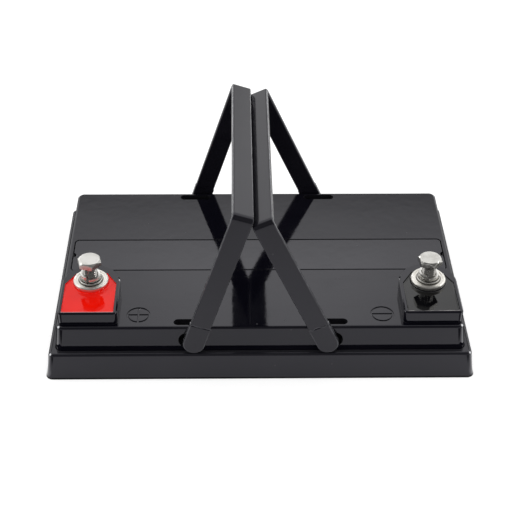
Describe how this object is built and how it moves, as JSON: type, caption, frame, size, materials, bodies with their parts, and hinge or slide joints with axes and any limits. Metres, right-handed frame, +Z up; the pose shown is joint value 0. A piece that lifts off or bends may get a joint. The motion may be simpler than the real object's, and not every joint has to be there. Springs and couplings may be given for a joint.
{
  "type": "sealed lead acid battery",
  "caption": "Low black sealed lead acid battery with bolted terminals on raised blocks, a flush vent cover and folding strap handles.",
  "frame": {"origin": "centre of the flat underside of the case", "axes": "+X along the length with the positive terminal at -X, -Y towards the long side with the terminals, +Z up out of the lid"},
  "size_m": [0.2332, 0.1422, 0.1062],
  "materials": {
    "black_case": "glossy moulded black",
    "black_lid": "glossy moulded black, near mirror smooth on top",
    "black_cover": "glossy moulded black",
    "black_handle": "semi-gloss moulded black",
    "red_resin": "poured glossy red resin",
    "black_resin": "poured glossy black resin",
    "tinned_brass": "turned and tinned",
    "plated_bolt": "bright plated",
    "plated_washer": "bright plated",
    "spring_steel": "bright plated",
    "lead": "cast lead, dull grey",
    "positive_plate": "pasted plate, dark brown",
    "glass_mat": "white glass fibre mat",
    "valve_rubber": "soft black rubber cap"
  },
  "bodies": {
    "root": {"case": "black_case", "lid": "black_lid", "vent_cover": "black_cover", "positive_seal": "red_resin", "negative_seal": "black_resin", "positive_terminal": "tinned_brass", "positive_bolt": "plated_bolt", "positive_flat_washer": "plated_washer", "positive_spring_washer": "spring_steel", "positive_post": "lead", "negative_terminal": "tinned_brass", "negative_bolt": "plated_bolt", "negative_flat_washer": "plated_washer", "negative_spring_washer": "spring_steel", "negative_post": "lead", "valve_cap_1": "valve_rubber", "positive_plates_1": "positive_plate", "negative_plates_1": "lead", "glass_mat_1": "glass_mat", "valve_cap_2": "valve_rubber", "positive_plates_2": "positive_plate", "negative_plates_2": "lead", "glass_mat_2": "glass_mat", "valve_cap_3": "valve_rubber", "positive_plates_3": "positive_plate", "negative_plates_3": "lead", "glass_mat_3": "glass_mat", "valve_cap_4": "valve_rubber", "positive_plates_4": "positive_plate", "negative_plates_4": "lead", "glass_mat_4": "glass_mat", "valve_cap_5": "valve_rubber", "positive_plates_5": "positive_plate", "negative_plates_5": "lead", "glass_mat_5": "glass_mat", "valve_cap_6": "valve_rubber", "positive_plates_6": "positive_plate", "negative_plates_6": "lead", "glass_mat_6": "glass_mat", "cell_link_1": "lead", "cell_link_2": "lead", "cell_link_3": "lead", "cell_link_4": "lead", "cell_link_5": "lead"},
    "left_handle": {"handle_left": "black_handle"},
    "right_handle": {"handle_right": "black_handle"}
  },
  "joints": [
    {"name": "left_handle_hinge", "type": "hinge", "parent": "root", "child": "left_handle", "pos_m": [-0.036, 0, 0.0219], "axis": [0, -1, 0], "range_deg": [0, 107.9]},
    {"name": "right_handle_hinge", "type": "hinge", "parent": "root", "child": "right_handle", "pos_m": [0.036, 0, 0.0219], "axis": [0, 1, 0], "range_deg": [0, 114.6]}
  ]
}
